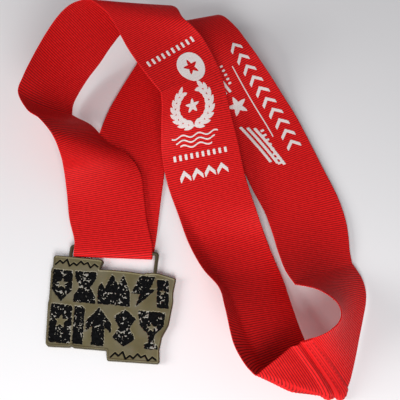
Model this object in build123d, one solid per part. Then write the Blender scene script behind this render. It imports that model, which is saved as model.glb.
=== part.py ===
from build123d import *
import math
import os

# Sports finisher medal on a wide grosgrain neck ribbon, lying on a flat surface.
# Frame: millimetres, +Z up out of the medal's face, +Y from the medal towards its ribbon bar.
# The origin is at the middle of the casting's flat back.

PLATE_THICKNESS = 3.0
RIM_WIDTH = 0.8
RIM_HEIGHT = 0.35
EDGE_CHAMFER = 0.3
RECESS_DEPTH = 0.9
ENAMEL_THICKNESS = 0.5
ENAMEL_GAP = 0.03
PROFILE_STROKE = 0.7
LEAN = 0.1
STAR_WAIST = 0.45
BAR_RADIUS = 0.9
BAR_Y = 28.3
BAR_Z = 1.8
BAR_LEFT_X = -22.5
BAR_RIGHT_X = 18.8
BAR_BEND = 1.1
TAB_TOP_Y = 22.7
SHOULDER_Y = 18.5
RIBBON_THICKNESS = 0.5
LAP_THICKNESS = 0.5
STITCH_THICKNESS = 0.3
STITCH_WIDTH = 0.6
SEAM_GAP = 0.3

# Edge of the cast plate, anticlockwise from the bottom left corner.
OUTLINE = [
    (-25.4, -20.6), (-15.6, -20.1), (-14.7, -19.4), (-13.5, -20.1), (1.5, -19.9), (2.4, -24.3),
    (25.2, -23.6), (26.1, -22.8), (25.3, -17.5), (25.8, -11.4), (28.2, -5.5), (29.0, 5.4),
    (28.5, 9.7), (29.1, 16.7), (20.8, SHOULDER_Y), (17.2, SHOULDER_Y), (16.2, 18.1),
    (15.0, 18.4), (13.9, 17.6), (7.1, 18.0), (-2.5, 18.0), (-7.3, 17.7), (-7.0, 19.4),
    (-6.2, TAB_TOP_Y - 0.6), (-8.0, TAB_TOP_Y), (-29.4, TAB_TOP_Y), (-30.3, 21.7), (-29.7, 16.8),
    (-30.3, 15.4), (-28.6, 0.4), (-28.8, -0.8), (-26.4, -19.6),
]

# Outlines of the enamelled motifs in a cell from 0 to 1 each way.
MOTIFS = {
    "shield": [(0, 1), (1, 1), (1, 0.34), (0.5, 0), (0, 0.34)],
    "hourglass": [
        (0, 1), (1, 1), (1, 0.8), (0.74, 0.5), (1, 0.2), (1, 0), (0, 0), (0, 0.2), (0.26, 0.5), (0, 0.8),
    ],
    "peaks": [
        (0, 0), (1, 0), (1, 0.42), (0.78, 1), (0.62, 0.62), (0.42, 1), (0.2, 0.5), (0.1, 0.68), (0, 0.5),
    ],
    "bolt": [(0.34, 1), (1, 1), (0.76, 0.6), (1, 0.6), (0.2, 0), (0.36, 0.42), (0, 0.42)],
    "slab": [(0.1, 0), (1, 0), (1, 0.94), (0.9, 1), (0, 1), (0, 0.06)],
    "arrow": [
        (0.5, 1), (1, 0.6), (1, 0.34), (0.74, 0.5), (0.74, 0), (0.26, 0), (0.26, 0.5), (0, 0.34), (0, 0.6),
    ],
    "cup": [
        (0, 1), (1, 1), (0.93, 0.62), (0.6, 0.36), (0.6, 0.16), (0.74, 0.1), (0.74, 0),
        (0.26, 0), (0.26, 0.1), (0.4, 0.16), (0.4, 0.36), (0.07, 0.62),
    ],
    "diamonds": [(0.5, 1), (1, 0.77), (0.74, 0.5), (1, 0.23), (0.5, 0), (0, 0.23), (0.26, 0.5), (0, 0.77)],
}

# Enamelled motifs on the casting: node, motif, low X, low Y, high X, high Y, radius of a star left bare.
# Each leans to the left as it goes up, by LEAN for each millimetre of Y.
BLOCKS = [
    ("enamel_top_1", "shield", -27.6, 0.9, -18.3, 15.8, 2.8),
    ("enamel_top_2", "hourglass", -17.1, 1.0, -7.0, 16.0, 0),
    ("enamel_top_3", "peaks", -5.8, 1.2, 9.2, 16.3, 0),
    ("enamel_top_4", "bolt", 10.0, 1.4, 21.0, 16.5, 0),
    ("enamel_side", "slab", 21.9, 2.0, 27.3, 15.4, 1.8),
    ("enamel_low_1", "slab", -27.3, -18.5, -17.3, -0.8, 3.5),
    ("enamel_low_2", "slab", -16.3, -18.3, -11.6, -0.8, 0),
    ("enamel_low_3", "arrow", -10.6, -18.0, 1.0, -0.5, 0),
    ("enamel_low_4", "diamonds", 2.2, -17.6, 12.4, -0.3, 0),
    ("enamel_low_5", "cup", 13.4, -17.4, 26.0, -0.2, 2.4),
]

# Lines like a course's height profile on the two tabs: node, low X, high X, low Y, high Y.
PROFILES = [
    ("enamel_tab_upper", -28.6, -8.6, 18.0, 21.2),
    ("enamel_tab_lower", 3.9, 24.3, -22.9, -19.8),
]
PROFILE_HEIGHTS = [0.1, 0.75, 0.35, 1.0, 0.0, 0.55, 0.2, 0.9, 0.45, 0.8, 0.05, 0.65, 0.3]

# The ribbon as straight rulings across it, in order round the loop from the fold under the bar.
# Each is the point on one selvage and the point on the other.
RULINGS = [
    ((-21.1, 23.4, 1.8), (16.5, 25.6, 1.8)),
    ((-21.1, 23.8, 2.8), (16.5, 26.0, 2.8)),
    ((-21.1, 25.1, 3.35), (16.5, 27.2, 3.35)),
    ((-21.6, 30.0, 3.35), (16.0, 31.5, 3.35)),
    ((-26.3, 42.0, 3.0), (11.5, 45.0, 2.8)),
    ((-29.3, 54.0, 4.5), (8.6, 57.0, 3.0)),
    ((-31.5, 64.0, 11.0), (5.0, 70.0, 3.5)),
    ((-31.5, 66.5, 23.0), (-3.0, 79.4, 4.0)),
    ((-34.5, 71.5, 33.0), (-14.8, 86.0, 4.3)),
    ((-42.0, 79.0, 34.0), (-23.5, 94.0, 4.0)),
    ((-48.5, 83.0, 34.5), (-32.5, 98.5, 3.2)),
    ((-54.0, 91.0, 35.5), (-35.0, 100.0, 2.8)),
    ((-52.8, 100.0, 37.0), (-35.2, 107.0, 3.0)),
    ((-49.5, 114.0, 37.5), (-30.0, 121.0, 5.0)),
    ((-45.5, 124.5, 39.5), (-24.5, 129.5, 8.0)),
    ((-41.0, 132.5, 42.0), (-18.5, 139.0, 12.5)),
    ((-36.5, 138.5, 43.0), (-11.5, 148.5, 16.0)),
    ((-31.5, 142.5, 42.5), (-1.0, 155.5, 20.5)),
    ((-27.5, 143.5, 42.0), (9.5, 153.5, 29.5)),
    ((-22.5, 141.0, 41.5), (15.5, 147.5, 36.5)),
    ((-17.3, 136.5, 41.4), (20.0, 138.5, 40.5)),
    ((-12.5, 130.0, 41.2), (25.0, 134.5, 40.0)),
    ((-4.0, 116.5, 41.0), (31.0, 130.5, 35.5)),
    ((6.5, 104.0, 39.0), (37.0, 124.0, 29.0)),
    ((13.5, 98.0, 35.0), (40.0, 121.5, 23.5)),
    ((14.0, 95.5, 28.0), (42.5, 117.0, 19.5)),
    ((14.0, 89.5, 18.0), (46.5, 106.5, 13.5)),
    ((15.0, 79.0, 9.0), (52.5, 88.5, 10.0)),
    ((19.5, 64.0, 5.0), (57.5, 71.0, 8.5)),
    ((26.5, 48.5, 5.0), (64.0, 54.0, 8.0)),
    ((33.5, 32.5, 9.0), (69.5, 42.0, 4.0)),
    ((41.5, 18.5, 16.0), (75.0, 30.0, 3.0)),
    ((49.5, 8.5, 23.0), (79.5, 20.5, 3.5)),
    ((53.0, -2.0, 28.0), (83.0, 9.0, 7.5)),
    ((57.5, -17.0, 31.0), (88.5, -6.5, 11.5)),
    ((61.5, -24.0, 32.5), (95.0, -17.0, 8.5)),
    ((65.0, -28.0, 33.0), (101.0, -24.5, 4.0)),
    ((68.0, -29.5, 32.5), (107.0, -30.5, 1.8)),
    ((70.5, -27.0, 32.2), (109.0, -29.5, 1.9)),
    ((76.0, -21.8, 31.0), (109.3, -28.8, 1.9)),
    ((82.3, -15.5, 28.5), (109.8, -27.0, 1.7)),
    ((88.0, -12.5, 29.0), (111.5, -22.5, 1.3)),
    ((92.5, -11.5, 33.0), (113.5, -13.5, 1.2)),
    ((96.5, -9.3, 34.5), (115.3, -3.5, 1.2)),
    ((100.5, -5.0, 33.5), (117.2, 6.8, 1.2)),
    ((101.7, -0.8, 32.5), (118.4, 14.0, 1.2)),
    ((100.3, 4.0, 30.7), (118.4, 19.8, 1.2)),
    ((96.5, 8.0, 28.0), (117.0, 25.0, 1.2)),
    ((91.2, 11.3, 25.0), (114.7, 29.0, 1.2)),
    ((83.0, 14.0, 19.5), (111.8, 33.0, 1.4)),
    ((79.0, 21.5, 15.0), (110.6, 38.5, 2.0)),
    ((76.0, 31.0, 10.0), (110.0, 44.5, 2.3)),
    ((72.5, 43.5, 5.5), (108.5, 54.0, 2.3)),
    ((68.5, 54.5, 3.0), (104.5, 66.0, 2.3)),
    ((62.0, 66.0, 2.3), (96.0, 83.0, 2.3)),
    ((55.5, 78.5, 2.3), (88.2, 98.3, 2.6)),
    ((48.5, 89.8, 2.5), (81.3, 110.7, 3.5)),
    ((41.3, 100.3, 4.0), (73.8, 121.0, 6.0)),
    ((34.3, 110.3, 8.0), (66.7, 129.5, 10.0)),
    ((27.6, 120.5, 14.0), (61.4, 135.3, 13.0)),
    ((21.2, 130.0, 19.0), (57.5, 139.0, 16.0)),
    ((15.5, 138.5, 22.0), (52.5, 144.5, 18.0)),
    ((8.4, 144.2, 22.0), (46.7, 151.5, 19.0)),
    ((0.8, 148.5, 18.0), (38.6, 160.3, 17.0)),
    ((-3.2, 150.9, 11.0), (33.7, 163.5, 11.0)),
    ((-4.2, 150.7, 5.0), (32.5, 158.5, 5.0)),
    ((-4.2, 147.5, 1.8), (33.5, 147.0, 2.0)),
    ((-4.0, 142.2, 1.4), (33.2, 132.5, 1.2)),
    ((-6.5, 134.8, 1.2), (28.5, 118.0, 1.2)),
    ((-12.0, 120.0, 1.2), (22.8, 104.0, 1.2)),
    ((-16.8, 105.1, 1.2), (18.5, 91.0, 1.2)),
    ((-19.6, 89.8, 1.2), (17.0, 78.0, 1.0)),
    ((-20.4, 74.0, 1.0), (17.0, 66.5, 1.0)),
    ((-21.0, 58.5, 0.8), (17.0, 54.0, 0.7)),
    ((-21.0, 43.0, 0.6), (17.2, 40.0, 0.6)),
    ((-21.0, 30.0, 0.45), (17.0, 30.8, 0.45)),
    ((-21.1, 25.1, 0.45), (16.6, 27.2, 0.45)),
    ((-21.1, 23.8, 0.8), (16.5, 26.0, 0.8)),
]

# Stretches of the ribbon: name, first ruling, last ruling.
SPANS = [
    ("ribbon_leg_a", 3, 8),
    ("ribbon_left_lobe", 8, 16),
    ("ribbon_top_fold", 16, 22),
    ("ribbon_strip_a_upper", 22, 28),
    ("ribbon_strip_a_lower", 28, 34),
    ("ribbon_bottom_fold", 34, 40),
    ("ribbon_right_lobe", 40, 49),
    ("ribbon_strip_b", 49, 57),
    ("ribbon_back_curl", 57, 66),
    ("ribbon_leg_b", 66, 75),
    ("ribbon_bar_loop", 75, 81),
]

os.makedirs("parts", exist_ok=True)


def save(shape, name):
    shape.label = name
    export_step(shape, os.path.join("parts", name + ".step"))


def polygon(points):
    return make_face(Polyline(*points, close=True))


def slab(face, low, high):
    return Pos(0, 0, low) * extrude(face, high - low)


def star(middle_x, middle_y, radius):
    """The ten corners of a star with one point up."""
    corners = []
    for i in range(10):
        angle = math.pi * i / 5
        reach = radius * (STAR_WAIST if i % 2 else 1)
        corners.append((middle_x + reach * math.sin(angle), middle_y + reach * math.cos(angle)))
    return corners


def leaned(x, y):
    return x - LEAN * y, y


def motif_face(motif, low_x, low_y, high_x, high_y, star_radius):
    width = high_x - low_x
    height = high_y - low_y
    face = polygon([leaned(low_x + width * x, low_y + height * y) for x, y in MOTIFS[motif]])
    if star_radius:
        middle = leaned(low_x + width / 2, low_y + height * 0.56)
        face -= polygon(star(*middle, star_radius))
    return face


def profile_face(low_x, high_x, low_y, high_y):
    """A line of one width rising and falling along the tab."""
    step = (high_x - low_x) / (len(PROFILE_HEIGHTS) - 1)
    points = []
    for i, share in enumerate(PROFILE_HEIGHTS):
        points.append((low_x + step * i, low_y + (high_y - low_y) * share))
    face = Pos(*points[0]) * Circle(PROFILE_STROKE / 2)
    for (ax, ay), (bx, by) in zip(points, points[1:]):
        angle = math.degrees(math.atan2(by - ay, bx - ax))
        stroke = Rectangle(math.hypot(bx - ax, by - ay), PROFILE_STROKE)
        face += Pos((ax + bx) / 2, (ay + by) / 2) * Rot(0, 0, angle) * stroke
        face += Pos(bx, by) * Circle(PROFILE_STROKE / 2)
    return face


def biggest(shape):
    return max(shape.solids(), key=lambda solid: solid.volume)


# Cast plate: bevelled edge, raised rim, flat field and recesses for the enamel.
plate = slab(polygon(OUTLINE), 0, PLATE_THICKNESS)
top_edges = plate.faces().sort_by(Axis.Z)[-1].outer_wire().edges()
plate = chamfer(top_edges, EDGE_CHAMFER)
field = offset(polygon(OUTLINE), -RIM_WIDTH)
plate -= slab(field, PLATE_THICKNESS - RIM_HEIGHT, PLATE_THICKNESS + 1)
field_z = PLATE_THICKNESS - RIM_HEIGHT
floor_z = field_z - RECESS_DEPTH
recesses = {name: motif_face(*cell) for name, *cell in BLOCKS}
recesses.update({name: profile_face(*cell) for name, *cell in PROFILES})
for name, recess in recesses.items():
    plate -= slab(recess, floor_z, PLATE_THICKNESS + 1)
    fill = offset(recess, -ENAMEL_GAP)
    save(biggest(slab(fill, floor_z, floor_z + ENAMEL_THICKNESS)), name)
save(biggest(plate), "medal_casting")

# Round bar the ribbon hangs on, bent down to the plate at both ends.
bar_path = FilletPolyline(
    (BAR_LEFT_X, TAB_TOP_Y, BAR_Z),
    (BAR_LEFT_X, BAR_Y, BAR_Z),
    (BAR_RIGHT_X, BAR_Y, BAR_Z),
    (BAR_RIGHT_X, SHOULDER_Y, BAR_Z),
    radius=BAR_BEND,
)
bar_end = Plane(origin=(BAR_LEFT_X, TAB_TOP_Y, BAR_Z), z_dir=(0, 1, 0))
bar = sweep(bar_end * Circle(BAR_RADIUS), path=bar_path)
save(biggest(bar), "ribbon_bar")


def ruling(i):
    low, high = RULINGS[i % len(RULINGS)]
    return Vector(*low), Vector(*high)


def panel_normal(i):
    """The normal of the panel between one ruling and the next."""
    low, high = ruling(i)
    next_low, next_high = ruling(i + 1)
    along = (next_low + next_high - low - high) * 0.5
    across = (high + next_high - low - next_low) * 0.5
    return across.cross(along).normalized()


def ruling_normal(i):
    return (panel_normal(i - 1) + panel_normal(i)).normalized()


def section(i, low_offset, high_offset):
    """The ribbon's cut across a ruling, from one offset off its middle surface to another."""
    low, high = ruling(i)
    normal = ruling_normal(i)
    corners = [
        low + normal * low_offset,
        high + normal * low_offset,
        high + normal * high_offset,
        low + normal * high_offset,
    ]
    return Wire.make_polygon(corners, close=True)


def stretch(first, last, low_offset, high_offset):
    wires = [section(i, low_offset, high_offset) for i in range(first, last + 1)]
    return Solid.make_loft(wires, ruled=True)


half = RIBBON_THICKNESS / 2
for name, first, last in SPANS:
    save(stretch(first, last, -half, half), name)

# The ribbon's two ends overlap at the back of the neck and are sewn with two rows of thread.
save(stretch(40, 41, half, half + LAP_THICKNESS), "ribbon_end_lap")
for name, i in (("seam_thread_1", 40), ("seam_thread_2", 41)):
    low, high = ruling(i)
    normal = ruling_normal(i)
    along = (high - low).normalized()
    step = normal.cross(along).normalized() * (STITCH_WIDTH if i == 40 else -STITCH_WIDTH)
    foot = half + LAP_THICKNESS + SEAM_GAP
    start = low + along * 1.0
    end = high - along * 1.0
    corners = [start, end, end + step, start + step]
    corners = [corner + normal * foot for corner in corners]
    face = Face(Wire.make_polygon(corners, close=True))
    save(biggest(extrude(face, STITCH_THICKNESS, dir=tuple(normal))), name)
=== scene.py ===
import bpy
import math
import numpy as np
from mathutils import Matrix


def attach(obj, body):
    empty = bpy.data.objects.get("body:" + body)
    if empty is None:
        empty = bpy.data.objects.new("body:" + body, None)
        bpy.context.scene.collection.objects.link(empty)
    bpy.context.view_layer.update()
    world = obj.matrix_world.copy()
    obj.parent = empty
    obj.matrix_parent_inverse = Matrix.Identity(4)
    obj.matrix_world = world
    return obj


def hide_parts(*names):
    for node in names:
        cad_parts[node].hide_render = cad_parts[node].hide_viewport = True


# Sports finisher medal on a wide red grosgrain ribbon, lying on a pale table.
# Metres, in the frame's axes: +Z out of the medal's face, +Y from the medal to its ribbon bar.
# Shapes are worked out in millimetres and scaled by MM where a mesh is made.
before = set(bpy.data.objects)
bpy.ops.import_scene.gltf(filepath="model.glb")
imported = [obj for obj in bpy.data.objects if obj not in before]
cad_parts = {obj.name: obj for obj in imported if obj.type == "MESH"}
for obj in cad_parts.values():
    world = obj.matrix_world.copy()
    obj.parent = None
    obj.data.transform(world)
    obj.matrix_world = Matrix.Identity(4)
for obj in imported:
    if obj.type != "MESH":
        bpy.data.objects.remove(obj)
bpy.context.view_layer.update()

MM = 0.001
SEED = 7

# The ribbon's weave: the middle of the cloth is RIBBON_HALF under the foot of its ribs.
RIBBON_WIDTH = 38.1
RIBBON_HALF = 0.14
RIB_PITCH = 1.1
RIB_HEIGHT = 0.17
STEPS_PER_RIB = 4
ROWS_ACROSS = 22
SELVAGE_WIDTH = 0.9
SELVAGE_CORD = 0.10
SCALLOP = 0.16
YARN_PITCH = 0.3
WEAVE_UNIT = 100

# The sewn seam: the ruling it lies on, the lap over it, its tuck and its stitches.
SEAM_RULING = 40
LAP_BEFORE = 0.5
LAP_AFTER = 6.0
LAP_THICKNESS = 0.8
TUCK_HEIGHT = 1.5
TUCK_BEFORE = 3.4
TUCK_REACH = 2.4
SEAM_THREADS = [("seam_thread_1", 1.2), ("seam_thread_2", 4.8)]
STITCH_PITCH = 2.6
STITCH_LENGTH = 2.1
STITCH_RADIUS = 0.2
STITCH_MARGIN = 1.6
STITCH_LIFT = 0.86

# The printed ink: how far it stands off the ribs, how deep it is bedded and its clear edge.
INK_PROUD = 0.05
INK_BEDDED = 0.03
INK_MARGIN = 1.4
INK_GRID = 0.4

# The cast plate and its enamel.
PLATE_THICKNESS = 3.0
BEVEL = 0.7
RIM_WIDTH = 0.8
RIM_HEIGHT = 0.35
RECESS_DEPTH = 0.9
ENAMEL_THICKNESS = 0.5
PROFILE_STROKE = 0.7
LEAN = 0.1
STAR_WAIST = 0.45
FIELD_Z = PLATE_THICKNESS - RIM_HEIGHT
FLOOR_Z = FIELD_Z - RECESS_DEPTH
ENAMEL_Z = FLOOR_Z + ENAMEL_THICKNESS
TAB_TOP_Y = 22.7
SHOULDER_Y = 18.5

# The round bar that carries the ribbon.
BAR_RADIUS = 0.9
BAR_Y = 28.3
BAR_Z = 1.8
BAR_LEFT_X = -22.5
BAR_RIGHT_X = 18.8
BAR_BEND = 1.1
BAR_SUNK = 0.6
BAR_SEGMENT = 0.8

# Edge of the cast plate, anticlockwise from the bottom left corner.
OUTLINE = [
    (-25.4, -20.6), (-15.6, -20.1), (-14.7, -19.4), (-13.5, -20.1), (1.5, -19.9), (2.4, -24.3),
    (25.2, -23.6), (26.1, -22.8), (25.3, -17.5), (25.8, -11.4), (28.2, -5.5), (29.0, 5.4),
    (28.5, 9.7), (29.1, 16.7), (20.8, SHOULDER_Y), (17.2, SHOULDER_Y), (16.2, 18.1),
    (15.0, 18.4), (13.9, 17.6), (7.1, 18.0), (-2.5, 18.0), (-7.3, 17.7), (-7.0, 19.4),
    (-6.2, TAB_TOP_Y - 0.6), (-8.0, TAB_TOP_Y), (-29.4, TAB_TOP_Y), (-30.3, 21.7), (-29.7, 16.8),
    (-30.3, 15.4), (-28.6, 0.4), (-28.8, -0.8), (-26.4, -19.6),
]

# Outlines of the enamelled motifs in a cell from 0 to 1 each way.
MOTIFS = {
    "shield": [(0, 1), (1, 1), (1, 0.34), (0.5, 0), (0, 0.34)],
    "hourglass": [
        (0, 1), (1, 1), (1, 0.8), (0.74, 0.5), (1, 0.2), (1, 0), (0, 0), (0, 0.2), (0.26, 0.5), (0, 0.8),
    ],
    "peaks": [
        (0, 0), (1, 0), (1, 0.42), (0.78, 1), (0.62, 0.62), (0.42, 1), (0.2, 0.5), (0.1, 0.68), (0, 0.5),
    ],
    "bolt": [(0.34, 1), (1, 1), (0.76, 0.6), (1, 0.6), (0.2, 0), (0.36, 0.42), (0, 0.42)],
    "slab": [(0.1, 0), (1, 0), (1, 0.94), (0.9, 1), (0, 1), (0, 0.06)],
    "arrow": [
        (0.5, 1), (1, 0.6), (1, 0.34), (0.74, 0.5), (0.74, 0), (0.26, 0), (0.26, 0.5), (0, 0.34), (0, 0.6),
    ],
    "cup": [
        (0, 1), (1, 1), (0.93, 0.62), (0.6, 0.36), (0.6, 0.16), (0.74, 0.1), (0.74, 0),
        (0.26, 0), (0.26, 0.1), (0.4, 0.16), (0.4, 0.36), (0.07, 0.62),
    ],
    "diamonds": [(0.5, 1), (1, 0.77), (0.74, 0.5), (1, 0.23), (0.5, 0), (0, 0.23), (0.26, 0.5), (0, 0.77)],
}

# Enamelled motifs on the casting: node, motif, low X, low Y, high X, high Y, radius of a star left bare.
BLOCKS = [
    ("enamel_top_1", "shield", -27.6, 0.9, -18.3, 15.8, 2.8),
    ("enamel_top_2", "hourglass", -17.1, 1.0, -7.0, 16.0, 0),
    ("enamel_top_3", "peaks", -5.8, 1.2, 9.2, 16.3, 0),
    ("enamel_top_4", "bolt", 10.0, 1.4, 21.0, 16.5, 0),
    ("enamel_side", "slab", 21.9, 2.0, 27.3, 15.4, 1.8),
    ("enamel_low_1", "slab", -27.3, -18.5, -17.3, -0.8, 3.5),
    ("enamel_low_2", "slab", -16.3, -18.3, -11.6, -0.8, 0),
    ("enamel_low_3", "arrow", -10.6, -18.0, 1.0, -0.5, 0),
    ("enamel_low_4", "diamonds", 2.2, -17.6, 12.4, -0.3, 0),
    ("enamel_low_5", "cup", 13.4, -17.4, 26.0, -0.2, 2.4),
]

# Lines like a course's height profile on the two tabs: node, low X, high X, low Y, high Y.
PROFILES = [
    ("enamel_tab_upper", -28.6, -8.6, 18.0, 21.2),
    ("enamel_tab_lower", 3.9, 24.3, -22.9, -19.8),
]
PROFILE_HEIGHTS = [0.1, 0.75, 0.35, 1.0, 0.0, 0.55, 0.2, 0.9, 0.45, 0.8, 0.05, 0.65, 0.3]

# The ribbon as straight rulings across it, round the loop from the fold under the bar, as in the CAD.
RULINGS = [
    ((-21.1, 23.4, 1.8), (16.5, 25.6, 1.8)),
    ((-21.1, 23.8, 2.8), (16.5, 26.0, 2.8)),
    ((-21.1, 25.1, 3.35), (16.5, 27.2, 3.35)),
    ((-21.6, 30.0, 3.35), (16.0, 31.5, 3.35)),
    ((-26.3, 42.0, 3.0), (11.5, 45.0, 2.8)),
    ((-29.3, 54.0, 4.5), (8.6, 57.0, 3.0)),
    ((-31.5, 64.0, 11.0), (5.0, 70.0, 3.5)),
    ((-31.5, 66.5, 23.0), (-3.0, 79.4, 4.0)),
    ((-34.5, 71.5, 33.0), (-14.8, 86.0, 4.3)),
    ((-42.0, 79.0, 34.0), (-23.5, 94.0, 4.0)),
    ((-48.5, 83.0, 34.5), (-32.5, 98.5, 3.2)),
    ((-54.0, 91.0, 35.5), (-35.0, 100.0, 2.8)),
    ((-52.8, 100.0, 37.0), (-35.2, 107.0, 3.0)),
    ((-49.5, 114.0, 37.5), (-30.0, 121.0, 5.0)),
    ((-45.5, 124.5, 39.5), (-24.5, 129.5, 8.0)),
    ((-41.0, 132.5, 42.0), (-18.5, 139.0, 12.5)),
    ((-36.5, 138.5, 43.0), (-11.5, 148.5, 16.0)),
    ((-31.5, 142.5, 42.5), (-1.0, 155.5, 20.5)),
    ((-27.5, 143.5, 42.0), (9.5, 153.5, 29.5)),
    ((-22.5, 141.0, 41.5), (15.5, 147.5, 36.5)),
    ((-17.3, 136.5, 41.4), (20.0, 138.5, 40.5)),
    ((-12.5, 130.0, 41.2), (25.0, 134.5, 40.0)),
    ((-4.0, 116.5, 41.0), (31.0, 130.5, 35.5)),
    ((6.5, 104.0, 39.0), (37.0, 124.0, 29.0)),
    ((13.5, 98.0, 35.0), (40.0, 121.5, 23.5)),
    ((14.0, 95.5, 28.0), (42.5, 117.0, 19.5)),
    ((14.0, 89.5, 18.0), (46.5, 106.5, 13.5)),
    ((15.0, 79.0, 9.0), (52.5, 88.5, 10.0)),
    ((19.5, 64.0, 5.0), (57.5, 71.0, 8.5)),
    ((26.5, 48.5, 5.0), (64.0, 54.0, 8.0)),
    ((33.5, 32.5, 9.0), (69.5, 42.0, 4.0)),
    ((41.5, 18.5, 16.0), (75.0, 30.0, 3.0)),
    ((49.5, 8.5, 23.0), (79.5, 20.5, 3.5)),
    ((53.0, -2.0, 28.0), (83.0, 9.0, 7.5)),
    ((57.5, -17.0, 31.0), (88.5, -6.5, 11.5)),
    ((61.5, -24.0, 32.5), (95.0, -17.0, 8.5)),
    ((65.0, -28.0, 33.0), (101.0, -24.5, 4.0)),
    ((68.0, -29.5, 32.5), (107.0, -30.5, 1.8)),
    ((70.5, -27.0, 32.2), (109.0, -29.5, 1.9)),
    ((76.0, -21.8, 31.0), (109.3, -28.8, 1.9)),
    ((82.3, -15.5, 28.5), (109.8, -27.0, 1.7)),
    ((88.0, -12.5, 29.0), (111.5, -22.5, 1.3)),
    ((92.5, -11.5, 33.0), (113.5, -13.5, 1.2)),
    ((96.5, -9.3, 34.5), (115.3, -3.5, 1.2)),
    ((100.5, -5.0, 33.5), (117.2, 6.8, 1.2)),
    ((101.7, -0.8, 32.5), (118.4, 14.0, 1.2)),
    ((100.3, 4.0, 30.7), (118.4, 19.8, 1.2)),
    ((96.5, 8.0, 28.0), (117.0, 25.0, 1.2)),
    ((91.2, 11.3, 25.0), (114.7, 29.0, 1.2)),
    ((83.0, 14.0, 19.5), (111.8, 33.0, 1.4)),
    ((79.0, 21.5, 15.0), (110.6, 38.5, 2.0)),
    ((76.0, 31.0, 10.0), (110.0, 44.5, 2.3)),
    ((72.5, 43.5, 5.5), (108.5, 54.0, 2.3)),
    ((68.5, 54.5, 3.0), (104.5, 66.0, 2.3)),
    ((62.0, 66.0, 2.3), (96.0, 83.0, 2.3)),
    ((55.5, 78.5, 2.3), (88.2, 98.3, 2.6)),
    ((48.5, 89.8, 2.5), (81.3, 110.7, 3.5)),
    ((41.3, 100.3, 4.0), (73.8, 121.0, 6.0)),
    ((34.3, 110.3, 8.0), (66.7, 129.5, 10.0)),
    ((27.6, 120.5, 14.0), (61.4, 135.3, 13.0)),
    ((21.2, 130.0, 19.0), (57.5, 139.0, 16.0)),
    ((15.5, 138.5, 22.0), (52.5, 144.5, 18.0)),
    ((8.4, 144.2, 22.0), (46.7, 151.5, 19.0)),
    ((0.8, 148.5, 18.0), (38.6, 160.3, 17.0)),
    ((-3.2, 150.9, 11.0), (33.7, 163.5, 11.0)),
    ((-4.2, 150.7, 5.0), (32.5, 158.5, 5.0)),
    ((-4.2, 147.5, 1.8), (33.5, 147.0, 2.0)),
    ((-4.0, 142.2, 1.4), (33.2, 132.5, 1.2)),
    ((-6.5, 134.8, 1.2), (28.5, 118.0, 1.2)),
    ((-12.0, 120.0, 1.2), (22.8, 104.0, 1.2)),
    ((-16.8, 105.1, 1.2), (18.5, 91.0, 1.2)),
    ((-19.6, 89.8, 1.2), (17.0, 78.0, 1.0)),
    ((-20.4, 74.0, 1.0), (17.0, 66.5, 1.0)),
    ((-21.0, 58.5, 0.8), (17.0, 54.0, 0.7)),
    ((-21.0, 43.0, 0.6), (17.2, 40.0, 0.6)),
    ((-21.0, 30.0, 0.45), (17.0, 30.8, 0.45)),
    ((-21.1, 25.1, 0.45), (16.6, 27.2, 0.45)),
    ((-21.1, 23.8, 0.8), (16.5, 26.0, 0.8)),
]

RIBBON_NODES = [
    "ribbon_leg_a",
    "ribbon_left_lobe",
    "ribbon_top_fold",
    "ribbon_strip_a_upper",
    "ribbon_strip_a_lower",
    "ribbon_bottom_fold",
    "ribbon_right_lobe",
    "ribbon_strip_b",
    "ribbon_back_curl",
    "ribbon_leg_b",
    "ribbon_bar_loop",
]

# ---------------------------------------------------------------- helpers


def make_mesh(name, points, faces, material):
    """A smooth-shaded object from points in millimetres and faces as rows of point numbers."""
    mesh = bpy.data.meshes.new(name)
    mesh.from_pydata((np.asarray(points) * MM).tolist(), [], [tuple(int(k) for k in row) for row in faces])
    mesh.update()
    mesh.polygons.foreach_set("use_smooth", np.ones(len(mesh.polygons), bool))
    mesh.materials.append(material)
    obj = bpy.data.objects.new(name, mesh)
    bpy.context.scene.collection.objects.link(obj)
    return obj


def mark_points(obj, attribute_name, values):
    """Stores one value for each point, for the shader to read."""
    attribute = obj.data.attributes.new(attribute_name, "FLOAT", "POINT")
    attribute.data.foreach_set("value", np.asarray(values, np.float32))


def unit(v):
    """Vectors scaled to length one."""
    return v / np.maximum(np.linalg.norm(v, axis=-1, keepdims=True), 1e-9)


def smoothstep(low, high, x):
    """0 at low and 1 at high, eased at both ends; low may be above high."""
    t = np.clip((x - low) / (high - low), 0, 1)
    return t * t * (3 - 2 * t)


def value_noise(x, y, scale, seed):
    """Smooth random values from 0 to 1, on a square lattice of that spacing."""
    table = np.random.default_rng(seed).random((256, 256))
    fx, fy = x / scale, y / scale
    ix, iy = np.floor(fx).astype(int), np.floor(fy).astype(int)
    tx, ty = fx - ix, fy - iy
    tx, ty = tx * tx * (3 - 2 * tx), ty * ty * (3 - 2 * ty)
    a, b = table[ix % 256, iy % 256], table[(ix + 1) % 256, iy % 256]
    c, d = table[ix % 256, (iy + 1) % 256], table[(ix + 1) % 256, (iy + 1) % 256]
    return (a * (1 - tx) + b * tx) * (1 - ty) + (c * (1 - tx) + d * tx) * ty


def between(field, row, column):
    """Values of a gridded field at fractional rows and columns."""
    i = np.clip(row.astype(int), 0, len(field) - 2)
    j = np.clip(column.astype(int), 0, field.shape[1] - 2)
    a, b = row - i, column - j
    if field.ndim > 2:
        a, b = a[:, None], b[:, None]
    low = field[i, j] * (1 - b) + field[i, j + 1] * b
    high = field[i + 1, j] * (1 - b) + field[i + 1, j + 1] * b
    return low * (1 - a) + high * a


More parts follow.
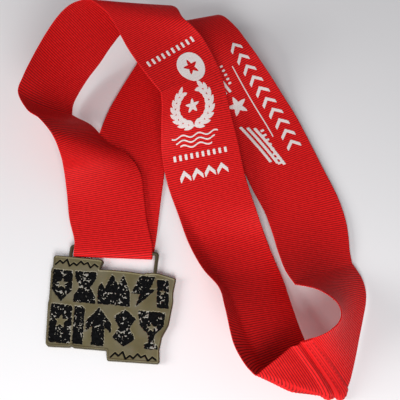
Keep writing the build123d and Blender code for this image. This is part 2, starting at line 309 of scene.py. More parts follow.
def clipped_grid(f, xs, ys):
    """The part of a grid where f is below 0, cut along f = 0: flat points (x, y) and faces."""
    points = []
    number = {}
    faces = []

    def corner(i, j):
        key = (i, j)
        if key not in number:
            number[key] = len(points)
            points.append((xs[i], ys[j]))
        return number[key]

    def crossing(i, j, k, m):
        key = (i, j, k, m) if (i, j) < (k, m) else (k, m, i, j)
        if key not in number:
            i, j, k, m = key
            share = f[i, j] / (f[i, j] - f[k, m])
            share = min(max(share, 0.04), 0.96)
            number[key] = len(points)
            points.append((xs[i] + (xs[k] - xs[i]) * share, ys[j] + (ys[m] - ys[j]) * share))
        return number[key]

    inside = f < 0
    touched = inside[:-1, :-1] | inside[1:, :-1] | inside[1:, 1:] | inside[:-1, 1:]
    for i, j in np.argwhere(touched):
        ring = [(i, j), (i + 1, j), (i + 1, j + 1), (i, j + 1)]
        face = []
        for n in range(4):
            here, there = ring[n], ring[(n + 1) % 4]
            if inside[here]:
                face.append(corner(*here))
            if inside[here] != inside[there]:
                face.append(crossing(*here, *there))
        if len(face) > 2:
            faces.append(face)
    return np.array(points), faces


def closed_skin(name, top, bottom, faces, material):
    """A closed body from one set of faces used for its top and, turned over, for its bottom."""
    count = len(top)
    edges = dict.fromkeys(pair for face in faces for pair in zip(face, face[1:] + face[:1]))
    under = [[k + count for k in reversed(face)] for face in faces]
    sides = [[b, a, a + count, b + count] for a, b in edges if (b, a) not in edges]
    return make_mesh(name, np.vstack([top, bottom]), faces + under + sides, material)


# ---------------------------------------------------------------- materials


def shader(name, **values):
    """A Principled material with those inputs set; gives its nodes, links and shader node too."""
    material = bpy.data.materials.new(name)
    material.use_nodes = True
    bsdf = material.node_tree.nodes["Principled BSDF"]
    for key, value in values.items():
        bsdf.inputs[key.replace("_", " ")].default_value = value
    return material, material.node_tree.nodes, material.node_tree.links, bsdf


def noise_node(nodes, links, coordinates, scale, detail=4):
    node = nodes.new("ShaderNodeTexNoise")
    node.inputs["Scale"].default_value = scale
    node.inputs["Detail"].default_value = detail
    links.new(coordinates, node.inputs["Vector"])
    return node


def ramp_node(nodes, links, factor, stops):
    node = nodes.new("ShaderNodeValToRGB")
    while len(node.color_ramp.elements) < len(stops):
        node.color_ramp.elements.new(0.5)
    for element, (place, colour) in zip(node.color_ramp.elements, stops):
        element.position = place
        element.color = (*colour, 1)
    links.new(factor, node.inputs["Fac"])
    return node


def bump_node(nodes, links, height, strength, distance, bsdf):
    """Bends the shader's normal by a height; the distance is in metres."""
    node = nodes.new("ShaderNodeBump")
    node.inputs["Strength"].default_value = strength
    node.inputs["Distance"].default_value = distance
    links.new(height, node.inputs["Height"])
    links.new(node.outputs["Normal"], bsdf.inputs["Normal"])


def multiplied_colour(nodes, links, first, second, bsdf):
    """Sets the shader's colour to the product of two colours."""
    node = nodes.new("ShaderNodeMix")
    node.data_type = "RGBA"
    node.blend_type = "MULTIPLY"
    node.inputs["Factor"].default_value = 1.0
    links.new(first, node.inputs["A"])
    links.new(second, node.inputs["B"])
    links.new(node.outputs["Result"], bsdf.inputs["Base Color"])


def grosgrain_material():
    """Red polyester: fine warp yarns over the ribs, painted shade in the grooves and slight uneven dye."""
    material, nodes, links, bsdf = shader("grosgrain", Roughness=0.62, Specular_IOR_Level=0.18)
    uv = nodes.new("ShaderNodeUVMap")
    uv.uv_map = "weave"
    split = nodes.new("ShaderNodeSeparateXYZ")
    links.new(uv.outputs["UV"], split.inputs["Vector"])
    yarn = nodes.new("ShaderNodeMath")
    yarn.operation = "MULTIPLY"
    yarn.inputs[1].default_value = 2 * math.pi * WEAVE_UNIT / YARN_PITCH
    links.new(split.outputs["Y"], yarn.inputs[0])
    wave = nodes.new("ShaderNodeMath")
    wave.operation = "SINE"
    links.new(yarn.outputs[0], wave.inputs[0])
    bump_node(nodes, links, wave.outputs[0], 0.25, 0.00003, bsdf)
    dye = noise_node(nodes, links, uv.outputs["UV"], 60)
    colour = ramp_node(nodes, links, dye.outputs["Fac"], [
        (0.3, (0.72, 0.006, 0.007)), (0.7, (0.87, 0.011, 0.012)),
    ])
    # Painted shade: the colour darkens from the top of each rib down into the groove.
    groove = nodes.new("ShaderNodeAttribute")
    groove.attribute_name = "rib"
    painted_groove_shade = ramp_node(nodes, links, groove.outputs["Fac"], [
        (0.0, (0.12, 0.08, 0.08)), (0.85, (1.0, 1.0, 1.0)),
    ])
    multiplied_colour(nodes, links, colour.outputs["Color"], painted_groove_shade.outputs["Color"], bsdf)
    return material


def ink_material():
    """White screen-printed ink, pinker in random patches where it is thin."""
    material, nodes, links, bsdf = shader("white_ink", Roughness=0.5)
    where = nodes.new("ShaderNodeTexCoord")
    surface_tone = noise_node(nodes, links, where.outputs["Object"], 2500)
    colour = ramp_node(nodes, links, surface_tone.outputs["Fac"], [
        (0.28, (0.72, 0.42, 0.38)), (0.42, (0.82, 0.76, 0.74)),
    ])
    links.new(colour.outputs["Color"], bsdf.inputs["Base Color"])
    return material


def bronze_material():
    """Antique bronze: olive-brown on the flats, dark in the corners, pale on the flecks and the recesses'
    lips.
    """
    material, nodes, links, bsdf = shader(
        "antique_bronze", Metallic=0.35, Roughness=0.48, Specular_IOR_Level=0.4,
    )
    where = nodes.new("ShaderNodeTexCoord")
    surface_tone = nodes.new("ShaderNodeAttribute")
    surface_tone.attribute_name = "surface_tone"
    tone = ramp_node(nodes, links, surface_tone.outputs["Fac"], [
        (0.0, (0.006, 0.006, 0.006)), (0.45, (0.075, 0.060, 0.032)),
        (0.6, (0.185, 0.155, 0.075)), (1.0, (0.42, 0.41, 0.38)),
    ])
    patch = noise_node(nodes, links, where.outputs["Object"], 220)
    mottle = ramp_node(nodes, links, patch.outputs["Fac"], [
        (0.3, (0.82, 0.82, 0.80)), (0.7, (1.0, 1.0, 1.0)),
    ])
    multiplied_colour(nodes, links, tone.outputs["Color"], mottle.outputs["Color"], bsdf)
    grain = noise_node(nodes, links, where.outputs["Object"], 4000)
    bump_node(nodes, links, grain.outputs["Fac"], 0.25, 0.00005, bsdf)
    return material


def enamel_material():
    """Glossy black enamel with a slightly uneven surface."""
    material, nodes, links, bsdf = shader("black_enamel", Roughness=0.28, Specular_IOR_Level=0.07)
    where = nodes.new("ShaderNodeTexCoord")
    grain = noise_node(nodes, links, where.outputs["Object"], 900)
    colour = ramp_node(nodes, links, grain.outputs["Fac"], [
        (0.3, (0.002, 0.002, 0.002)), (0.75, (0.008, 0.008, 0.009)),
    ])
    links.new(colour.outputs["Color"], bsdf.inputs["Base Color"])
    bump_node(nodes, links, grain.outputs["Fac"], 0.5, 0.0002, bsdf)
    return material


def thread_material():
    """Red thread, a little deeper than the ribbon, with its twist."""
    material, nodes, links, bsdf = shader("sewing_thread", Roughness=0.7, Specular_IOR_Level=0.15)
    where = nodes.new("ShaderNodeTexCoord")
    twist = noise_node(nodes, links, where.outputs["Object"], 3000)
    colour = ramp_node(nodes, links, twist.outputs["Fac"], [
        (0.3, (0.32, 0.004, 0.006)), (0.7, (0.55, 0.010, 0.014)),
    ])
    links.new(colour.outputs["Color"], bsdf.inputs["Base Color"])
    return material


GROSGRAIN = grosgrain_material()
INK = ink_material()
BRONZE = bronze_material()
ENAMEL = enamel_material()
THREAD = thread_material()


# ---------------------------------------------------------------- the ribbon's middle surface


# Fine rulings laid from each ruling of the table to the next.
PER_SPAN = 16
# Sharp turns: ruling, how sharp at the first selvage, how sharp at the other.
CREASES = [(11, 0.0, 1.0), (12, 0.5, 0.0), (24, 1.0, 1.0), (49, 1.0, 1.0)]
# Hollowed stretches: first ruling, last ruling, depth in the middle along the surface's normal.
SAGS = [(8.0, 16.0, -3.0), (41.5, 49.0, -3.0)]
# The selvage that stands up beside the lower strip: ruling, share of the width at its crease, depth there.
LIFTS = [
    (28.5, 0.05, 0.0), (30.0, 0.17, 3.0), (32.0, 0.20, 5.0),
    (34.0, 0.36, 7.0), (35.5, 0.40, 6.5), (38.5, 0.45, 0.0),
]
LIFT_SOFTNESS = 0.06
# Lengths of ribbon, in whole millimetres, over which the lifts and the rulings' slant are evened out.
LIFT_REACH = 4
SLANT_REACH = 16


def through(rulings, per_span, creases):
    """A closed run of rulings through those given, turning sharply at the creased ones only."""
    points = np.array(rulings, float)
    chord = np.linalg.norm(points - np.roll(points, -1, 0), axis=-1)
    gap = np.sqrt(chord.mean(axis=1))
    before = np.roll(gap, 1)
    step_after = (np.roll(points, -1, 0) - points) / gap[:, None, None]
    step_before = (points - np.roll(points, 1, 0)) / before[:, None, None]
    weight = (before / (before + gap))[:, None, None]
    tangent = step_after * weight + step_before * (1 - weight)
    leaving, arriving = tangent.copy(), tangent.copy()
    for number, *sharpness in creases:
        share = np.array(sharpness)[:, None]
        leaving[number] += (step_after[number] - tangent[number]) * share
        arriving[number] += (step_before[number] - tangent[number]) * share
    curve = []
    for s in np.arange(per_span) / per_span:
        h00, h10 = 2 * s**3 - 3 * s**2 + 1, s**3 - 2 * s**2 + s
        h01, h11 = -2 * s**3 + 3 * s**2, s**3 - s**2
        scale = gap[:, None, None]
        curve.append(
            h00 * points + h10 * scale * leaving
            + h01 * np.roll(points, -1, 0) + h11 * scale * np.roll(arriving, -1, 0)
        )
    return np.stack(curve, 1).reshape(-1, *points.shape[1:])


edges = through(RULINGS, PER_SPAN, CREASES)
lows, highs = edges[:, 0], edges[:, 1]


def around_loop(values, at, reach):
    """Values smoothed along the closed ribbon over a length of about that reach."""
    even = np.arange(0, LENGTH, 1.0)
    spread = np.interp(even, at, values)
    kernel = np.exp(-0.5 * (np.arange(-3 * reach, 3 * reach + 1) / reach) ** 2)
    kernel /= kernel.sum()
    padded = np.concatenate([spread[-3 * reach:], spread, spread[:3 * reach]])
    return np.interp(at, even, np.convolve(padded, kernel, "valid"), period=LENGTH)


step_low = np.linalg.norm(np.roll(lows, -1, 0) - lows, axis=1)
step_high = np.linalg.norm(np.roll(highs, -1, 0) - highs, axis=1)
place = np.concatenate([[0], np.cumsum((step_low + step_high) / 2)])
LENGTH = place[-1]
RIB_COUNT = round(LENGTH / RIB_PITCH)
ahead = unit(np.roll(lows + highs, -1, 0) - np.roll(lows + highs, 1, 0))
outward = unit(np.cross(highs - lows, ahead))


def slanting():
    """How far each fine ruling slants on the flat ribbon.

    Its changes follow the two selvages' lengths, so the ribs stay evenly spaced along both;
    its level over a longer stretch keeps the ribs square to the ribbon's length.
    """
    gain = np.concatenate([[0], np.cumsum(step_high - step_low)])
    gain = (gain - gain[-1] * place / LENGTH)[:-1]
    square = ((highs - lows) * ahead).sum(1)
    slant = np.clip(gain + around_loop(square - gain, place[:-1], SLANT_REACH), -30, 30)
    return np.concatenate([slant, slant[:1]])


def hanging():
    """How far the middle of each fine ruling hangs off the straight line between its selvages."""
    ruling = np.arange(len(lows)) / PER_SPAN
    depth = np.zeros(len(lows))
    for first, last, most in SAGS:
        share = np.clip((ruling - first) / (last - first), 0, 1)
        depth += most * np.sin(math.pi * share) ** 2
    return depth


def lifted(column):
    """A column of LIFTS at every fine ruling."""
    table = np.array(LIFTS)
    ruling = np.arange(len(lows)) / PER_SPAN
    return around_loop(np.interp(ruling, table[:, 0], table[:, column]), place[:-1], LIFT_REACH)


slant = slanting()
hang = hanging()
crease_share, crease_depth = lifted(1), lifted(2)


def crease_profile(share):
    """A tent across the ribbon, one at the crease and nought at both selvages, with a soft ridge."""
    rising = np.exp(-share / crease_share / LIFT_SOFTNESS)
    falling = np.exp(-(1 - share) / (1 - crease_share) / LIFT_SOFTNESS)
    return -LIFT_SOFTNESS * np.log(rising + falling)


def tuck(u):
    """The ridge pressed into the ribbon beside its sewn seam."""
    away = np.abs(u - SEAM_U + TUCK_BEFORE)
    return TUCK_HEIGHT * np.clip(1 - away / TUCK_REACH, 0, 1) ** 0.8


def on_ribbon(u, v):
    """Points of the ribbon's middle surface at flat places u along it and v across it, in mm.

    Both are 1-D arrays; the result has one row of points for each v.
    """
    count = len(lows)
    numbers = np.arange(-count, 2 * count + 1)
    laps = numbers // count
    numbers = numbers % count
    rows = []
    for across in v:
        share = across / RIBBON_WIDTH
        along = place[numbers] + laps * LENGTH + (share - 0.5) * slant[numbers]
        along = np.maximum.accumulate(along + np.arange(len(along)) * 1e-7)
        hung = hang * 4 * share * (1 - share) + crease_depth * crease_profile(share)
        hung = hung[:, None] * outward
        line = (lows * (1 - share) + highs * share + hung)[numbers]
        point = np.stack([np.interp(u, along, line[:, k]) for k in range(3)], -1)
        out = np.stack([np.interp(u, along, outward[numbers, k]) for k in range(3)], -1)
        rows.append(point + out * tuck(u)[:, None])
    return np.array(rows)


def normals_at(grid, closed):
    """Unit normals of a grid of points with one row for each place across."""
    if closed:
        along = np.roll(grid, -2, 1) - np.roll(grid, 2, 1)
    else:
        along = np.gradient(grid, axis=1)
    across = np.gradient(grid, axis=0)
    return unit(np.cross(across, along))


def u_at(ruling):
    """The place along the ribbon of a ruling's middle, which may be between two rulings."""
    return float(np.interp(ruling * PER_SPAN, np.arange(len(place)), place))


SEAM_U = u_at(SEAM_RULING)


def rib(u):
    """Height of the woven rib at u: round cords side by side, with a narrow groove between."""
    phase = (u * RIB_COUNT / LENGTH) % 1
    return RIB_HEIGHT * np.sqrt(np.maximum(0, 1 - (2 * phase - 1) ** 2))


def edge_rows(middle_rows):
    """Places across the ribbon: close together at the selvages and even in between."""
    near = np.array([0, 0.25, 0.55, SELVAGE_WIDTH, 1.3])
    middle = np.linspace(2.2, RIBBON_WIDTH - 2.2, middle_rows)
    return np.concatenate([near, middle, RIBBON_WIDTH - near[::-1]])


def ribbon_heights(u, v):
    """How far the woven face stands off the middle surface, for each (v, u)."""
    inset = np.minimum(v, RIBBON_WIDTH - v)[:, None]
    ribs = rib(u)[None, :] * smoothstep(0.1, SELVAGE_WIDTH, inset)
    cord = SELVAGE_CORD * np.exp(-((inset - SELVAGE_WIDTH / 2) / 0.35) ** 2)
    rounding = smoothstep(-0.35, 0.3, inset)
    return (RIBBON_HALF + cord) * rounding + ribs


def scalloped(v, u):
    """How far the selvages are drawn in at the groove after each rib, for each (v, u)."""
    inset = np.minimum(v, RIBBON_WIDTH - v)[:, None]
    side = np.where(v < RIBBON_WIDTH / 2, 1.0, -1.0)[:, None]
    return side * SCALLOP * np.exp(-inset / 0.5) * (1 - rib(u)[None, :] / RIB_HEIGHT)


def mark_ribs(obj, u, rows):
    """Stores how high each point stands on its rib, from 0 in the groove to 1; the ribbon's shader paints
    shade into the grooves from it.
    """
    mark_points(obj, "rib", np.tile(rib(u) / RIB_HEIGHT, rows))


def build_ribbon():
    """The whole ribbon as one closed woven band, ribbed on both faces, with flat places as its UVs."""
    steps = RIB_COUNT * STEPS_PER_RIB
    u = np.arange(steps) * LENGTH / steps
    v = edge_rows(ROWS_ACROSS)
    grid = on_ribbon(u, v)
    normal = normals_at(grid, True)
    inward = unit(np.gradient(grid, axis=0))
    grid = grid + inward * scalloped(v, u)[..., None]
    height = ribbon_heights(u, v)[..., None]
    ring = np.concatenate([grid + normal * height, (grid - normal * height)[::-1]])
    rows, columns = ring.shape[:2]
    number = np.arange(rows * columns).reshape(rows, columns)
    turned = np.roll(number, -1, 0)
    quads = np.stack([number, np.roll(number, -1, 1), np.roll(turned, -1, 1), turned], -1)
    obj = make_mesh("ribbon_grosgrain", ring.reshape(-1, 3), quads.reshape(-1, 4)[:, ::-1], GROSGRAIN)
    across = np.concatenate([v, v[::-1]])
    row = np.repeat(np.arange(rows), columns)
    column = np.tile(np.arange(columns), rows)
    ends = np.stack([
        np.stack([u[column], across[row]], -1),
        np.stack([u[column] + LENGTH / steps, across[row]], -1),
        np.stack([u[column] + LENGTH / steps, across[(row + 1) % rows]], -1),
        np.stack([u[column], across[(row + 1) % rows]], -1),
    ], 1)[:, ::-1]
    layer = obj.data.uv_layers.new(name="weave")
    layer.data.foreach_set("uv", (ends / WEAVE_UNIT).astype(np.float32).ravel())
    mark_ribs(obj, u, rows)
    return obj


def build_lap():
    """The ribbon's sewn end, a second ribbed layer lying over the seam, as a closed body."""
    u_low, u_high = SEAM_U - LAP_BEFORE, SEAM_U + LAP_AFTER
    u = np.linspace(u_low, u_high, int((u_high - u_low) / RIB_PITCH * STEPS_PER_RIB) + 1)
    v = np.linspace(0.1, RIBBON_WIDTH - 0.1, int((RIBBON_WIDTH - 0.2) / 1.5) + 1)
    grid = on_ribbon(u, v)
    normal = normals_at(grid, False)
    roll = np.sqrt(np.clip(1 - (2 * (u - u_low) / (u_high - u_low) - 1) ** 6, 0, 1))
    height = RIBBON_HALF + LAP_THICKNESS * roll[None, :] + rib(u)[None, :] * roll[None, :]
    top = grid + normal * height[..., None]
    foot = grid + normal * RIBBON_HALF
    rows, columns = grid.shape[:2]
    number = np.arange(rows * columns).reshape(rows, columns)
    a, b, c, d = number[:-1, :-1], number[:-1, 1:], number[1:, 1:], number[1:, :-1]
    faces = np.stack([a, d, c, b], -1).reshape(-1, 4).tolist()
    obj = closed_skin("ribbon_lap", top.reshape(-1, 3), foot.reshape(-1, 3), faces, GROSGRAIN)
    mark_ribs(obj, u, 2 * rows)
    return obj


# ---------------------------------------------------------------- printed artwork
# Each mark is a signed distance in millimetres over flat places (x to the right, y up).


def bar_mark(x, y, cx, cy, width, height):
    return np.maximum(np.abs(x - cx) - width / 2, np.abs(y - cy) - height / 2)


def disc_mark(x, y, cx, cy, radius):
    return np.hypot(x - cx, y - cy) - radius


def star_mark(x, y, cx, cy, radius, points=5):
    angle = np.arctan2(x - cx, y - cy)
    reach = np.hypot(x - cx, y - cy)
    turn = np.abs((angle / (2 * math.pi / points)) % 1 - 0.5) * 2
    return reach - radius * (0.42 + 0.58 * turn ** 1.6)


def leaf_mark(x, y, cx, cy, angle, length, width):
    ca, sa = math.cos(angle), math.sin(angle)
    along = (x - cx) * ca + (y - cy) * sa
    aside = (y - cy) * ca - (x - cx) * sa
    return np.abs(aside) - width / 2 * (1 - (2 * along / length) ** 2)


def chevron_mark(x, y, cx, cy, width, height, stroke):
    rise = (y - cy) - (height / 2 - stroke) + np.abs(x - cx) * (height - stroke) / (width / 2)
    return np.maximum(np.abs(rise) - stroke * 0.7, np.abs(x - cx) - width / 2)


def wave_mark(x, y, cx, cy, width, swing, stroke):
    line = np.abs(y - cy - swing * np.sin((x - cx) * 0.75)) - stroke / 2
    return np.maximum(line, np.abs(x - cx) - width / 2)


def laurel_artwork(x, y):
    """A star in a disc over a laurel wreath, with rows of bars, waves and chevrons."""
    marks = [bar_mark(x, y, -14.5 + 3.1 * i, 39.5 + 0.1 * i, 1.3, 3.0) for i in range(10)]
    marks.append(np.maximum(disc_mark(x, y, 4.6, 28.6, 7.6), -star_mark(x, y, 4.6, 28.6, 4.4)))
    for side in (-1, 1):
        for i in range(8):
            turn = math.radians(-76 + 19 * i)
            for lane, length in ((0.0, 6.2), (2.6, 5.0)):
                cx = -1.4 + side * (11.2 - lane) * math.cos(turn)
                cy = 9.0 + (11.6 - lane) * math.sin(turn)
                lean = turn + math.radians(62 if lane == 0 else 118)
                lean = lean if side > 0 else math.pi - lean
                marks.append(leaf_mark(x, y, cx, cy, lean, length, 2.3))
    marks.append(star_mark(x, y, -1.4, 9.0, 4.2))
    marks += [wave_mark(x, y, -1.6, -6.5 - 2.6 * i, 24.0 - 4.0 * i, 0.8, 0.8) for i in range(3)]
    marks += [bar_mark(x, y, -13.0 + 2.8 * i, -17.0, 1.3, 3.0) for i in range(10)]
    marks += [chevron_mark(x, y, -9.6 + 6.2 * i, -25.6, 5.4, 5.6, 2.0) for i in range(4)]
    return np.minimum.reduce(marks)


def side_line_artwork(x, y):
    """Chevrons and a rule along the right edge, with a star, short bars and lanes beside them."""
    marks = [chevron_mark(x, y, 10.4, 34.4 - 6.5 * i, 7.6, 4.8, 1.5) for i in range(10)]
    marks.append(bar_mark(x, y, 3.0, 4.5, 0.6, 43.0))
    marks += [bar_mark(x, y, -2.6, 28.5 - 2.4 * i, 1.7, 1.1) for i in range(5)]
    marks += [bar_mark(x, y, -0.4, -11.5 - 2.9 * i, 1.9, 1.2) for i in range(8)]
    marks.append(star_mark(x, y, -4.8, 6.2, 5.6))
    leaning = x + 0.2 * (y + 4.0)
    marks += [bar_mark(leaning, y, -9.4 + 2.6 * i, -17.0 - 2.0 * i, 1.5, 25.0) for i in range(3)]
    marks += [bar_mark(leaning, y, -3.4 + 2.6 * i, 18.0, 1.5, 7.0) for i in range(2)]
    return np.minimum.reduce(marks)


def printed(name, artwork, centre, reach, up_is_forward, side):
    """White ink following the ribs, over the ribbon from centre - reach to centre + reach."""
    u = np.arange(centre - reach, centre + reach, RIB_PITCH / STEPS_PER_RIB)
    v = np.arange(INK_MARGIN, RIBBON_WIDTH - INK_MARGIN, INK_GRID)
    x = np.repeat((v - RIBBON_WIDTH / 2)[:, None], len(u), 1)
    y = np.repeat(((u - centre) * (1 if up_is_forward else -1))[None, :], len(v), 0)
    flat, faces = clipped_grid(artwork(x, y), v, u)
    grid = on_ribbon(u, v)
    normal = normals_at(grid, False) * side
    row = (flat[:, 0] - v[0]) / (v[1] - v[0])
    column = (flat[:, 1] - u[0]) / (u[1] - u[0])
    point, out = between(grid, row, column), unit(between(normal, row, column))
    face_height = RIBBON_HALF + rib(flat[:, 1])[:, None]
    top = point + out * (face_height + INK_PROUD)
    foot = point + out * (face_height - INK_BEDDED)
    if side < 0:
        faces = [face[::-1] for face in faces]
    return closed_skin(name, top, foot, faces, INK)


# ---------------------------------------------------------------- sewn seam


def seam_threads(name, u_place):
    """One row of straight stitches across the ribbon, each a low rounded bar of thread."""
    points, faces = [], []
    around = 8
    for start in np.arange(STITCH_MARGIN, RIBBON_WIDTH - STITCH_MARGIN - STITCH_LENGTH, STITCH_PITCH):
        v = np.linspace(start, start + STITCH_LENGTH, 7)
        grid = on_ribbon(np.array([u_place - 0.3, u_place, u_place + 0.3]), v)
        middle = grid[:, 1]
        out = normals_at(grid, False)[:, 1]
        aside = np.cross(unit(np.gradient(middle, axis=0)), out)
        swell = np.sin(np.linspace(0.12, math.pi - 0.12, len(v))) ** 0.4
        base = len(points)
        for k in range(len(v)):
            centre = middle[k] + out[k] * (RIBBON_HALF + STITCH_LIFT + 0.1 * swell[k])
            for n in range(around):
                angle = 2 * math.pi * n / around
                reach = out[k] * math.sin(angle) + aside[k] * math.cos(angle)
                points.append(centre + reach * STITCH_RADIUS * swell[k])
        for k in range(len(v) - 1):
            for n in range(around):
                a, b = base + k * around + n, base + k * around + (n + 1) % around
                faces.append([a, b, b + around, a + around])
        faces.append([base + n for n in reversed(range(around))])
        faces.append([base + (len(v) - 1) * around + n for n in range(around)])
    return make_mesh(name, np.array(points), faces, THREAD)


# ---------------------------------------------------------------- the medal


def line_distance(x, y, pairs):
    """Distance to the nearest of the straight lines between pairs of points."""
    nearest = np.full(x.shape, 1e9)
    for (ax, ay), (bx, by) in pairs:
        dx, dy = bx - ax, by - ay
        share = np.clip(((x - ax) * dx + (y - ay) * dy) / (dx * dx + dy * dy), 0, 1)
        nearest = np.minimum(nearest, np.hypot(x - ax - share * dx, y - ay - share * dy))
    return nearest


def polygon_distance(x, y, corners):
    """Distance to a closed outline, below 0 inside."""
    pairs = list(zip(corners, corners[1:] + corners[:1]))
    nearest = line_distance(x, y, pairs)
    crossings = np.zeros(x.shape, int)
    for (ax, ay), (bx, by) in pairs:
        if ay != by:
            crossings += ((ay > y) != (by > y)) & (x < (bx - ax) * (y - ay) / (by - ay) + ax)
    return np.where(crossings % 2 == 1, -nearest, nearest)


def motif_distance(x, y, motif, low_x, low_y, high_x, high_y, star_radius):
    """Distance to a motif stretched over its leaning cell, with a star left out of its middle."""
    width, height = high_x - low_x, high_y - low_y
    corners = [(low_x + width * a, low_y + height * b) for a, b in MOTIFS[motif]]
    shape = polygon_distance(x + LEAN * y, y, corners)
    if star_radius:
        middle_y = low_y + height * 0.56
        middle_x = low_x + width / 2 - LEAN * middle_y
        corners = []
        for i in range(10):
            reach = star_radius * (STAR_WAIST if i % 2 else 1)
            turn = math.pi * i / 5
            corners.append((middle_x + reach * math.sin(turn), middle_y + reach * math.cos(turn)))
        shape = np.maximum(shape, -polygon_distance(x, y, corners))
    return shape


def profile_distance(x, y, low_x, high_x, low_y, high_y):
    """Distance to a line of one width rising and falling along a tab."""
    step = (high_x - low_x) / (len(PROFILE_HEIGHTS) - 1)
    points = [(low_x + step * i, low_y + (high_y - low_y) * h) for i, h in enumerate(PROFILE_HEIGHTS)]
    return line_distance(x, y, list(zip(points, points[1:]))) - PROFILE_STROKE / 2


def softened(f, passes):
    """A gridded field with each value averaged with its four neighbours, so many times over."""
    for _ in range(passes):
        f = (f + np.roll(f, 1, 0) + np.roll(f, -1, 0) + np.roll(f, 1, 1) + np.roll(f, -1, 1)) / 5
    return f


def build_casting():
    """The cast plate: bevelled rim, flat field, recesses with ragged walls and raised flecks.

    Its grid reaches past OUTLINE on every side.
    """
    step = 0.2
    xs, ys = np.arange(-31.0, 31.0, step), np.arange(-25.4, 24.0, step)
    x, y = np.meshgrid(xs, ys, indexing="ij")
    outline = softened(polygon_distance(x, y, OUTLINE), 4)
    inside = -outline
    height = np.full(x.shape, PLATE_THICKNESS)
    bevel = np.clip(BEVEL - inside, 0, BEVEL)
    height -= BEVEL - np.sqrt(np.maximum(BEVEL ** 2 - bevel ** 2, 0))
    height -= RIM_HEIGHT * smoothstep(RIM_WIDTH - 0.25, RIM_WIDTH + 0.25, inside)
    recess = np.minimum.reduce([motif_distance(x, y, *cell) for _, *cell in BLOCKS])
    lines = np.minimum.reduce([profile_distance(x, y, *cell) for _, *cell in PROFILES])
    coarse = value_noise(x, y, 1.35, SEED)
    fine = value_noise(x + 40, y + 40, 0.55, SEED + 1)
    ragged = recess + 0.55 * (fine - 0.5) + 0.25 * (coarse - 0.5)
    deep = smoothstep(0.12, -0.18, ragged)
    deep_line = smoothstep(0.1, -0.15, lines)
    patch = value_noise(x - 30, y + 10, 4.5, SEED + 2)
    fleck = 0.55 * fine + 0.45 * coarse + 0.16 * (patch - 0.5)
    fleck = smoothstep(0.66, 0.71, fleck) * deep
    lowered = np.maximum(deep * (1 - 0.92 * fleck), deep_line)
    height -= RECESS_DEPTH * lowered
    height += 0.03 * (value_noise(x, y, 3.0, SEED + 3) - 0.5) * (1 - lowered)
    # The shader's tone: 0 is the darkest bronze, in the recesses, and 1 the brightest, on flecks and lips.
    surface_tone = 0.62 + 0.10 * (patch - 0.5)
    # Darker towards the plate's outline.
    surface_tone = surface_tone * (1 - smoothstep(0.55, 0.1, inside) * 0.35)
    surface_tone = surface_tone * (1 - lowered) + 0.05 * lowered
    surface_tone = np.where(fleck > 0.35, 0.74 + 0.26 * fine, surface_tone)
    surface_tone += 0.20 * np.exp(-((ragged - 0.12) / 0.12) ** 2) * (1 - fleck)
    flat, faces = clipped_grid(outline, xs, ys)
    row, column = (flat[:, 0] - xs[0]) / step, (flat[:, 1] - ys[0]) / step
    edge = between(outline, row, column) > -0.02
    z = np.where(edge, PLATE_THICKNESS - 0.45, between(height, row, column))
    pitting = 0.10 * np.maximum(0, value_noise(flat[:, 0], flat[:, 1], 0.9, SEED + 4) - 0.6)
    top = np.column_stack([flat, z])
    foot = np.column_stack([flat, np.where(edge, 0.25, pitting)])
    obj = closed_skin("medal_plate", top, foot, faces, BRONZE)
    # The plate's edge takes a fixed, darker tone.
    tone = np.where(edge, 0.42, between(surface_tone, row, column))
    mark_points(obj, "surface_tone", np.concatenate([tone, np.full(len(flat), 0.55)]))
    return obj


def build_enamel(name, distance, low_x, low_y, high_x, high_y):
    """One pool of enamel, slightly uneven and drawn up at its walls."""
    step = 0.25
    xs = np.arange(low_x - 0.5, high_x + 0.5 + step, step)
    ys = np.arange(low_y - 0.5, high_y + 0.5 + step, step)
    x, y = np.meshgrid(xs, ys, indexing="ij")
    flat, faces = clipped_grid(distance(x, y) + 0.02, xs, ys)
    depth = -distance(flat[:, 0], flat[:, 1])
    ripple = value_noise(flat[:, 0], flat[:, 1], 0.8, SEED + 5) - 0.5
    z = ENAMEL_Z + 0.10 * np.exp(-np.maximum(depth, 0) / 0.3) + 0.16 * ripple
    top = np.column_stack([flat, z])
    foot = np.column_stack([flat, np.full(len(flat), FLOOR_Z)])
    return closed_skin(name, top, foot, faces, ENAMEL)


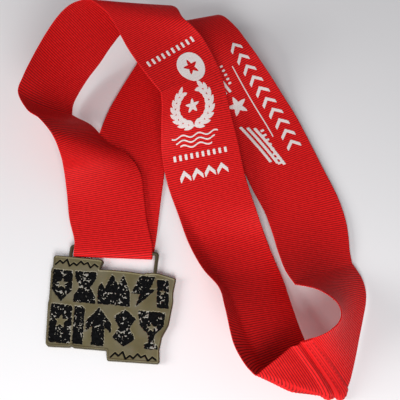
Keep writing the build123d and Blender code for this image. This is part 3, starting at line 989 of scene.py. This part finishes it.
def build_bar():
    """The bent round bar, swept along its path with slightly uneven thickness."""
    corners = [
        (BAR_LEFT_X, TAB_TOP_Y - BAR_SUNK), (BAR_LEFT_X, BAR_Y),
        (BAR_RIGHT_X, BAR_Y), (BAR_RIGHT_X, SHOULDER_Y - BAR_SUNK),
    ]
    path = [np.array(corners[0], float)]
    for start, corner, end in zip(corners, corners[1:], corners[2:]):
        before = unit(np.subtract(start, corner))
        after = unit(np.subtract(end, corner))
        first, last = corner + before * BAR_BEND, corner + after * BAR_BEND
        centre = corner + (before + after) * BAR_BEND
        for s in np.linspace(0, 1, 9):
            blend = unit((first - centre) * (1 - s) + (last - centre) * s)
            path.append(centre + blend * BAR_BEND)
    path.append(np.array(corners[-1], float))
    fine = []
    for a, b in zip(path, path[1:]):
        parts = max(1, int(np.hypot(*(b - a)) / BAR_SEGMENT))
        fine += [a + (b - a) * n / parts for n in range(parts)]
    fine = np.array(fine + [path[-1]])
    along = unit(np.gradient(fine, axis=0))
    aside = np.column_stack([-along[:, 1], along[:, 0]])
    around = 24
    angle = 2 * math.pi * np.arange(around) / around
    uneven = value_noise(np.arange(len(fine)) * BAR_SEGMENT, np.zeros(len(fine)), 2.5, SEED + 6)
    radius = BAR_RADIUS * (0.97 + 0.05 * uneven)
    points = np.zeros((len(fine), around, 3))
    points[..., :2] = fine[:, None] + aside[:, None] * (np.cos(angle) * radius[:, None])[..., None]
    points[..., 2] = BAR_Z + np.sin(angle) * radius[:, None]
    number = np.arange(len(fine) * around).reshape(len(fine), around)
    turned = np.roll(number, -1, 1)
    quads = np.stack([number[:-1], turned[:-1], turned[1:], number[1:]], -1).reshape(-1, 4).tolist()
    quads += [number[0, ::-1].tolist(), number[-1].tolist()]
    obj = make_mesh("ribbon_bar_rod", points.reshape(-1, 3), quads, BRONZE)
    mark_points(obj, "surface_tone", np.full(len(fine) * around, 0.47))
    return obj


# ---------------------------------------------------------------- putting it together


def put(obj, body, slot, *nodes):
    """Sets the body a piece rides on and hides the CAD nodes it takes the place of; the slot is not used.
    """
    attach(obj, body)
    if nodes:
        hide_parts(*nodes)


ribbon = build_ribbon()
put(ribbon, "ribbon", "ribbon", *RIBBON_NODES)
lap = build_lap()
put(lap, "ribbon", "ribbon", "ribbon_end_lap")
for node, after_seam in SEAM_THREADS:
    row = seam_threads(node + "_stitches", SEAM_U + after_seam)
    put(row, "ribbon", "thread", node)
prints = [
    printed("print_laurel", laurel_artwork, u_at(26.2), 42.0, False, -1),
    printed("print_side_line", side_line_artwork, u_at(56.9), 40.0, True, 1),
]
for print_piece in prints:
    put(print_piece, "ribbon", "ribbon")

plate = build_casting()
put(plate, "medal", "bronze", "medal_casting")
bar = build_bar()
put(bar, "medal", "bronze", "ribbon_bar")
for name, *cell in BLOCKS:
    def motif(x, y, cell=cell):
        return motif_distance(x, y, *cell)
    low_x, low_y, high_x, high_y = cell[1:5]
    pool = build_enamel(
        name + "_pool", motif, low_x - LEAN * high_y, low_y, high_x - LEAN * low_y, high_y
    )
    put(pool, "medal", "enamel", name)
for name, low_x, high_x, low_y, high_y in PROFILES:
    def profile(x, y, cell=(low_x, high_x, low_y, high_y)):
        return profile_distance(x, y, *cell)
    pool = build_enamel(name + "_pool", profile, low_x, low_y, high_x, high_y)
    put(pool, "medal", "enamel", name)

# ---------------------------------------------------------------- stage


def plain(name, colour, roughness):
    return shader(name, Base_Color=(*colour, 1), Roughness=roughness)[0]


bpy.ops.mesh.primitive_plane_add(size=6, location=(0.04, 0.05, -0.0002))
table = bpy.context.object
table.name = "table"
table.data.materials.append(plain("pale_table", (0.90, 0.89, 0.90), 0.6))


def area_light(name, location, target, size, power, colour=(1, 1, 1)):
    """A square lamp of that size in metres and power in watts, turned to its target."""
    data = bpy.data.lights.new(name, "AREA")
    data.size = size
    data.energy = power
    data.color = colour
    light = bpy.data.objects.new(name, data)
    bpy.context.scene.collection.objects.link(light)
    light.location = location
    aim = np.array(target) - np.array(location)
    light.rotation_euler = (math.atan2(math.hypot(aim[0], aim[1]), -aim[2]), 0, math.atan2(-aim[0], aim[1]))
    return light


window = area_light("window", (-0.68, -0.20, 0.46), (0.03, 0.05, 0), 0.40, 3.8, (1.0, 0.99, 0.98))
front = area_light("front", (0.10, -0.32, 0.30), (0.08, 0.0, 0), 0.22, 1.7)
world = bpy.data.worlds.new("studio")
world.use_nodes = True
world.node_tree.nodes["Background"].inputs["Color"].default_value = (0.95, 0.96, 1.0, 1)
world.node_tree.nodes["Background"].inputs["Strength"].default_value = 0.25
bpy.context.scene.world = world
bpy.context.scene.view_settings.view_transform = "Standard"

CAMERA_YAW = math.radians(5.65)
CAMERA_TILT = math.radians(24)
camera_data = bpy.data.cameras.new("camera")
camera_data.sensor_width = 36
camera_data.lens = 63
camera = bpy.data.objects.new("camera", camera_data)
bpy.context.scene.collection.objects.link(camera)
camera.location = (0.0502, -0.0820, 0.319)
camera.rotation_euler = (CAMERA_TILT, 0, CAMERA_YAW)
bpy.context.scene.camera = camera
